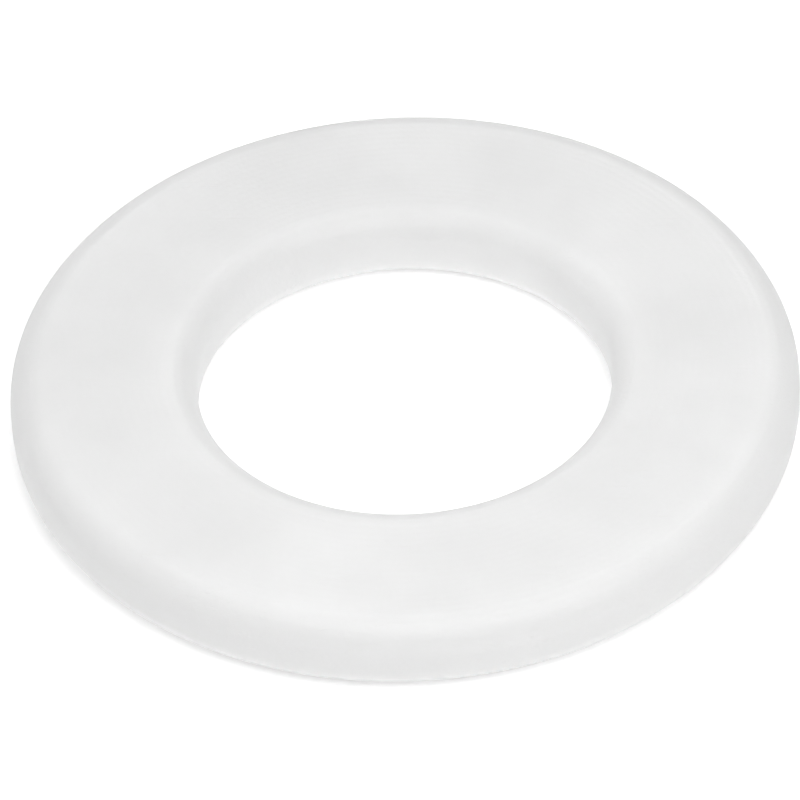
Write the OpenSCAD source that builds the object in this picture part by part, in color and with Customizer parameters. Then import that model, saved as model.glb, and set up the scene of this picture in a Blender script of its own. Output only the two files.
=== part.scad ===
// Flat washer: a plain moulded ring with softly rounded edges.
// It lies on the XY plane, and the Z axis is the axis of its hole.

/* [Ring] */
// Diameter across the outside
outer_d = 16; // [13:0.1:40]
// Diameter of the hole, which clears an 8 mm bolt
bore_d = 8.4; // [2:0.1:12]
// Thickness from one face to the other
thickness = 1.6; // [0.4:0.1:6]

/* [Edges] */
// Radius of the rounding on both outer edges
outer_edge_r = 0.65; // [0.05:0.05:1.5]
// Radius of the rounding on both edges of the hole
bore_edge_r = 0.6; // [0.05:0.05:1.5]

/* [Hidden] */
$fn = 128;

// Least width of the straight band left between two roundings
land = 0.1;

outer_r = outer_d / 2;
bore_r = bore_d / 2;

// A rounding is no larger than the thickness and the ring's width leave room for
edge_limit = (min(thickness, outer_r - bore_r) - land) / 2;
outer_round = min(outer_edge_r, edge_limit);
bore_round = min(bore_edge_r, edge_limit);

// An upright bar in the ring's cross-section, with its middle at x and round ends of radius r
module round_ended_bar(x, r) {
    translate([x - r, r])
        square([2 * r, thickness - 2 * r]);
    for (z = [r, thickness - r])
        translate([x, z])
            circle(r);
}

module washer() {
    bore_bar_x = bore_r + bore_round;
    outer_bar_x = outer_r - outer_round;
    color("whitesmoke")
        rotate_extrude() {
            round_ended_bar(bore_bar_x, bore_round);
            round_ended_bar(outer_bar_x, outer_round);
            // The flat faces, from the one bar to the other
            translate([bore_bar_x, 0])
                square([outer_bar_x - bore_bar_x, thickness]);
        }
}

washer();
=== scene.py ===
import math

import bmesh
import bpy
from mathutils import Matrix, Vector, noise


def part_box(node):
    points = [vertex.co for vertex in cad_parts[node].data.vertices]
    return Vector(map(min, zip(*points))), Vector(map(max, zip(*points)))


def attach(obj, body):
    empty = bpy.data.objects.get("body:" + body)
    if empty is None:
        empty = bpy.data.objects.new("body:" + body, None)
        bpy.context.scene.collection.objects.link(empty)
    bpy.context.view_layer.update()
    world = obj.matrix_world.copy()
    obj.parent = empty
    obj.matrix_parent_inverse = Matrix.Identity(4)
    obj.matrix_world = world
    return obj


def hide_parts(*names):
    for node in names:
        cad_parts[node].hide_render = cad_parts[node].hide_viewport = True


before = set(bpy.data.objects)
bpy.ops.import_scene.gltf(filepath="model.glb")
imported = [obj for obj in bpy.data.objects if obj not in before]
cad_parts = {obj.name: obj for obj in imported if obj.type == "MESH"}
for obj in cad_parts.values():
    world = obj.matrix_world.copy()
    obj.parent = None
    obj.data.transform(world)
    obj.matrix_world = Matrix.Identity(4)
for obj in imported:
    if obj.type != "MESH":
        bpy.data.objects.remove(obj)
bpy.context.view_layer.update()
print("loaded the frame:", ", ".join(sorted(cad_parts)))

mm = 0.001            # one millimetre, in the scene's metres
level = 0.001 * mm    # points whose heights differ by less than this are level


# ---- the washer's sizes, read off the CAD node

def ringSizes(nodeName):
    low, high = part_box(nodeName)
    verts = [v.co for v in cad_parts[nodeName].data.vertices]
    reach = [math.hypot(v.x, v.y) for v in verts]
    topReach = [r for r, v in zip(reach, verts) if high.z - v.z < level]
    # where the flat face ends is where the rounding begins
    return {
        "outerR": max(reach),
        "boreR": min(reach),
        "bottom": low.z,
        "top": high.z,
        "outerRound": max(reach) - max(topReach),
        "boreRound": min(topReach) - min(reach),
    }


size = ringSizes("washer")
middle = Vector((0, 0, (size["bottom"] + size["top"]) / 2))


# ---- the ring: its cross-section spun round the axis of the hole

ring = {
    "roundSegments": 14,            # round each of the four edges
    "faceCuts": 22,                 # across each flat face
    "wallCuts": 2,                  # up each straight wall
    "steps": 360,                   # round the ring
    "shortestFlat": 0.2 * mm,       # a section edge longer than this is a face or a wall
    "weldDistance": 0.0005 * mm,    # joins the last step to the first
    "waveHeight": 0.006 * mm,       # how uneven the moulded surface is
    "waveLength": 5 * mm,
}


def ringSection(bm):
    # a rectangle in the XZ plane, with its corners rounded
    corners = {
        "bore": [(size["boreR"], size["bottom"]), (size["boreR"], size["top"])],
        "outer": [(size["outerR"], size["top"]), (size["outerR"], size["bottom"])],
    }
    verts = {side: [bm.verts.new((x, 0, z)) for x, z in places] for side, places in corners.items()}
    bm.faces.new(verts["bore"] + verts["outer"])
    for side, radius in (("bore", size["boreRound"]), ("outer", size["outerRound"])):
        bmesh.ops.bevel(
            bm,
            geom=verts[side],
            offset=radius,
            segments=ring["roundSegments"],
            profile=0.5,    # a circular arc
            affect="VERTICES",
            material=-1,
        )
    # only the outline is spun
    bmesh.ops.delete(bm, geom=list(bm.faces), context="FACES_ONLY")
    flats = [e for e in bm.edges if e.calc_length() > ring["shortestFlat"]]
    faceEdges = [e for e in flats if abs(e.verts[0].co.z - e.verts[1].co.z) < level]
    wallEdges = [e for e in flats if e not in faceEdges]
    bmesh.ops.subdivide_edges(bm, edges=faceEdges, cuts=ring["faceCuts"])
    bmesh.ops.subdivide_edges(bm, edges=wallEdges, cuts=ring["wallCuts"])


def unevenSurface(bm):
    # a moulded face is never quite flat
    for v in bm.verts:
        wave = noise.noise(v.co / ring["waveLength"])
        v.co += v.normal * wave * ring["waveHeight"]


def buildRing():
    bm = bmesh.new()
    ringSection(bm)
    bmesh.ops.spin(
        bm,
        geom=list(bm.verts) + list(bm.edges),
        cent=(0, 0, 0),
        axis=(0, 0, 1),
        angle=math.tau,
        steps=ring["steps"],
        use_merge=True,
    )
    bmesh.ops.remove_doubles(bm, verts=list(bm.verts), dist=ring["weldDistance"])
    bmesh.ops.recalc_face_normals(bm, faces=list(bm.faces))
    bm.normal_update()
    unevenSurface(bm)
    for f in bm.faces:
        f.smooth = True
    mesh = bpy.data.meshes.new("washerRing")
    bm.to_mesh(mesh)
    bm.free()
    piece = bpy.data.objects.new("washerRing", mesh)
    bpy.context.scene.collection.objects.link(piece)
    return piece


washerRing = buildRing()
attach(washerRing, "root")
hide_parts("washer")
print("ring built:", len(washerRing.data.polygons), "faces")


# ---- milky nylon

nylon = {
    "pale": (0.82, 0.82, 0.82, 1),
    "cloudy": (0.78, 0.78, 0.78, 1),        # where the plastic is a little less clear
    "rimShade": (0.765, 0.765, 0.765, 1),    # painted shade: the rounded outside edge greyer, where it turns away from the light
    "cloudSize": 3 * mm,
    "cloudDetail": 6,
    "cloudRange": (0.3, 0.7),     # the noise values at which the clouds start and are full
    "roughness": (0.36, 0.50),    # from the smoothest patches to the dullest
    "edgeDulling": 0.10,          # the rounded edges are rubbed duller than the faces
    "ior": 1.53,
    "milkDepth": 0.8 * mm,        # how far light wanders under the surface
    "grainSize": 0.09 * mm,       # the satin skin that the mould leaves
    "grainDetail": 2,
    "grainHeight": 0.006 * mm,
    "turnSpacing": 0.17 * mm,     # faint rings, where the mould was turned
    "turnWobble": 1.5,
    "turnHeight": 0.0018 * mm,
    "scuffLength": 1.6 * mm,      # light scuffs from lying loose among other washers
    "scuffWidth": 0.07 * mm,
    "scuffDetail": 1,
    "scuffRange": (0.70, 0.78),   # the noise values at which a scuff starts and is full
    "scuffDepth": 0.003 * mm,
    "scuffTurns": (25, -50, 80),  # the directions that they run in, in degrees
}


def noiseOf(nodes, links, place, featureSize, detail):
    texture = nodes.new("ShaderNodeTexNoise")
    texture.inputs["Scale"].default_value = 1 / featureSize
    texture.inputs["Detail"].default_value = detail
    links.new(place, texture.inputs["Vector"])
    return texture.outputs["Fac"]


def spread(nodes, links, value, fromRange, toRange):
    # stretches one range of values over another
    node = nodes.new("ShaderNodeMapRange")
    for socket, number in zip(("From Min", "From Max", "To Min", "To Max"), fromRange + toRange):
        node.inputs[socket].default_value = number
    links.new(value, node.inputs["Value"])
    return node.outputs["Result"]


def combine(nodes, links, operation, first, second=0.0):
    node = nodes.new("ShaderNodeMath")
    node.operation = operation
    links.new(first, node.inputs[0])
    if isinstance(second, float):
        node.inputs[1].default_value = second
    else:
        links.new(second, node.inputs[1])
    return node.outputs["Value"]


def mixed(nodes, links, first, second, amount):
    # the first colour where the amount is 0, the second where it is 1
    node = nodes.new("ShaderNodeMix")
    node.data_type = "RGBA"
    if isinstance(first, tuple):
        node.inputs["A"].default_value = first
    else:
        links.new(first, node.inputs["A"])
    node.inputs["B"].default_value = second
    links.new(amount, node.inputs["Factor"])
    return node.outputs["Result"]


def fromAxis(nodes, links, place):
    # how far each point is from the axis of the hole
    flat = nodes.new("ShaderNodeVectorMath")
    flat.operation = "MULTIPLY"
    flat.inputs[1].default_value = (1, 1, 0)
    links.new(place, flat.inputs[0])
    reach = nodes.new("ShaderNodeVectorMath")
    reach.operation = "LENGTH"
    links.new(flat.outputs["Vector"], reach.inputs[0])
    return reach.outputs["Value"]


def edgeWear(nodes, links, reach):
    # 0 along the middle of the faces, rising to 1 at the two walls
    midR = (size["boreR"] + size["outerR"]) / 2
    halfWidth = (size["outerR"] - size["boreR"]) / 2
    fromMiddle = combine(nodes, links, "SUBTRACT", reach, midR)
    aside = combine(nodes, links, "ABSOLUTE", fromMiddle)
    return spread(nodes, links, aside, (halfWidth - size["outerRound"], halfWidth), (0, 1))


def scuffs(nodes, links, place):
    # thin streaks in a few directions, 1 along each streak and 0 between them
    along, across = 1 / nylon["scuffLength"], 1 / nylon["scuffWidth"]
    marks = None
    for turn in nylon["scuffTurns"]:
        lay = nodes.new("ShaderNodeMapping")
        lay.inputs["Rotation"].default_value = (0, 0, math.radians(turn))
        lay.inputs["Scale"].default_value = (along, across, across)
        links.new(place, lay.inputs["Vector"])
        streak = noiseOf(nodes, links, lay.outputs["Vector"], 1, nylon["scuffDetail"])
        streak = spread(nodes, links, streak, nylon["scuffRange"], (0, 1))
        marks = combine(nodes, links, "MAXIMUM", marks, streak) if marks else streak
    return marks


def raised(nodes, links, height, distance, under):
    relief = nodes.new("ShaderNodeBump")
    relief.inputs["Distance"].default_value = distance
    links.new(height, relief.inputs["Height"])
    if under:
        links.new(under, relief.inputs["Normal"])
    return relief.outputs["Normal"]


def milkyNylon():
    mat = bpy.data.materials.new("milkyNylon")
    mat.use_nodes = True
    nodes, links = mat.node_tree.nodes, mat.node_tree.links
    shader = nodes["Principled BSDF"]
    place = nodes.new("ShaderNodeTexCoord").outputs["Object"]

    clouds = noiseOf(nodes, links, place, nylon["cloudSize"], nylon["cloudDetail"])
    cloudiness = spread(nodes, links, clouds, nylon["cloudRange"], (0, 1))
    reach = fromAxis(nodes, links, place)
    outerFlat = size["outerR"] - size["outerRound"]
    # painted shade: the outer rounded edge is greyed towards the outside, standing in for the shade
    # that falls on it
    rimShading = spread(nodes, links, reach, (outerFlat, size["outerR"]), (0, 1))
    tint = mixed(nodes, links, nylon["pale"], nylon["cloudy"], cloudiness)
    tint = mixed(nodes, links, tint, nylon["rimShade"], rimShading)
    links.new(tint, shader.inputs["Base Color"])

    marks = scuffs(nodes, links, place)
    worn = combine(nodes, links, "MAXIMUM", marks, edgeWear(nodes, links, reach))
    dull = combine(nodes, links, "MULTIPLY", worn, nylon["edgeDulling"])
    sheen = spread(nodes, links, clouds, nylon["cloudRange"], nylon["roughness"])
    links.new(combine(nodes, links, "ADD", sheen, dull), shader.inputs["Roughness"])

    grain = noiseOf(nodes, links, place, nylon["grainSize"], nylon["grainDetail"])
    turning = nodes.new("ShaderNodeTexWave")
    turning.wave_type = "RINGS"
    turning.rings_direction = "Z"
    # at a scale of 1 the rings of this texture are pi / 10 apart
    turning.inputs["Scale"].default_value = math.pi / 10 / nylon["turnSpacing"]
    turning.inputs["Distortion"].default_value = nylon["turnWobble"]
    links.new(place, turning.inputs["Vector"])
    normal = raised(nodes, links, grain, nylon["grainHeight"], None)
    normal = raised(nodes, links, turning.outputs["Fac"], nylon["turnHeight"], normal)
    normal = raised(nodes, links, marks, nylon["scuffDepth"], normal)
    links.new(normal, shader.inputs["Normal"])

    shader.inputs["IOR"].default_value = nylon["ior"]
    shader.inputs["Subsurface Weight"].default_value = 1
    shader.inputs["Subsurface Radius"].default_value = (1, 1, 1)
    shader.inputs["Subsurface Scale"].default_value = nylon["milkDepth"]
    return mat


washerRing.data.materials.append(milkyNylon())
print("nylon mixed")


# ---- a plain pale floor

floor = {
    "side": 0.9,         # in metres
    "colour": (0.92, 0.92, 0.92, 1),
    "roughness": 0.9,
    "glow": 0.31,        # the table is lit a little from below
    "gap": 0.01 * mm,    # keeps the uneven underside clear of the floor
}


def paleFloor():
    bm = bmesh.new()
    bmesh.ops.create_grid(bm, x_segments=1, y_segments=1, size=floor["side"] / 2)
    bmesh.ops.translate(bm, verts=list(bm.verts), vec=(0, 0, size["bottom"] - floor["gap"]))
    mesh = bpy.data.meshes.new("floor")
    bm.to_mesh(mesh)
    bm.free()
    mat = bpy.data.materials.new("paleFloor")
    mat.use_nodes = True
    shader = mat.node_tree.nodes["Principled BSDF"]
    shader.inputs["Base Color"].default_value = floor["colour"]
    shader.inputs["Roughness"].default_value = floor["roughness"]
    shader.inputs["Emission Color"].default_value = floor["colour"]
    shader.inputs["Emission Strength"].default_value = floor["glow"]
    mesh.materials.append(mat)
    piece = bpy.data.objects.new("floor", mesh)
    bpy.context.scene.collection.objects.link(piece)


paleFloor()


# ---- soft studio light

room = {
    "low": 0.6,        # how bright the walls are near the floor
    "high": 0.1,       # and overhead, where the softboxes do the work
    "fade": (3, 5),    # the heights between which they dim, in degrees
}

softboxes = {
    # name: azimuth and elevation in degrees, distance and side in metres, watts
    "keyBox": (0, 65, 0.2, 0.14, 0.15),
    "rightBox": (35, 55, 0.07, 0.05, 0.0195),
    "leftBox": (-90, 35, 0.6, 0.4, 0.59),
    "backBox": (180, 55, 0.6, 0.4, 1.25),
}


def fromAngles(azimuth, elevation):
    # the direction from the washer towards a camera or lamp; azimuth 0 is the side that faces -Y
    a, e = math.radians(azimuth), math.radians(elevation)
    return Vector((math.sin(a) * math.cos(e), -math.cos(a) * math.cos(e), math.sin(e)))


def lightRoom():
    world = bpy.data.worlds.new("room")
    world.use_nodes = True
    nodes, links = world.node_tree.nodes, world.node_tree.links
    direction = nodes.new("ShaderNodeSeparateXYZ")
    links.new(nodes.new("ShaderNodeTexCoord").outputs["Generated"], direction.inputs["Vector"])
    fade = tuple(math.sin(math.radians(angle)) for angle in room["fade"])
    strength = spread(nodes, links, direction.outputs["Z"], fade, (room["low"], room["high"]))
    nodes["Background"].inputs["Color"].default_value = (1, 1, 1, 1)
    links.new(strength, nodes["Background"].inputs["Strength"])
    bpy.context.scene.world = world
    for name, (azimuth, elevation, distance, side, watts) in softboxes.items():
        lamp = bpy.data.lights.new(name, "AREA")
        lamp.shape = "SQUARE"
        lamp.size = side
        lamp.energy = watts
        box = bpy.data.objects.new(name, lamp)
        bpy.context.scene.collection.objects.link(box)
        away = fromAngles(azimuth, elevation)
        box.location = middle + away * distance
        box.rotation_euler = away.to_track_quat("Z", "Y").to_euler()


lightRoom()
print("lit by the room and", len(softboxes), "softboxes")


# ---- the camera

view = {
    "azimuth": 0,
    "elevation": 42.4,
    "roll": 2.56,             # the washer leans up to the right
    "distance": 16.4,         # in outer radii
    "lens": 291,              # in millimetres, as is the sensor
    "sensor": 36,
    "right": -0.102 * mm,     # the camera stands a little to the left and below
    "up": -0.243 * mm,
    "clip": (1 * mm, 10),     # the nearest and farthest that it sees
}


def placeCamera():
    data = bpy.data.cameras.new("camera")
    data.lens = view["lens"]
    data.sensor_width = view["sensor"]
    data.clip_start, data.clip_end = view["clip"]
    camera = bpy.data.objects.new("camera", data)
    bpy.context.scene.collection.objects.link(camera)
    away = fromAngles(view["azimuth"], view["elevation"])
    turn = (-away).to_track_quat("-Z", "Y").to_matrix()
    turn = turn @ Matrix.Rotation(-math.radians(view["roll"]), 3, "Z")
    aside = turn @ Vector((view["right"], view["up"], 0))
    camera.location = middle + away * view["distance"] * size["outerR"] + aside
    camera.rotation_euler = turn.to_euler()
    bpy.context.scene.camera = camera


placeCamera()
bpy.context.scene.view_settings.view_transform = "Standard"
print("camera placed")
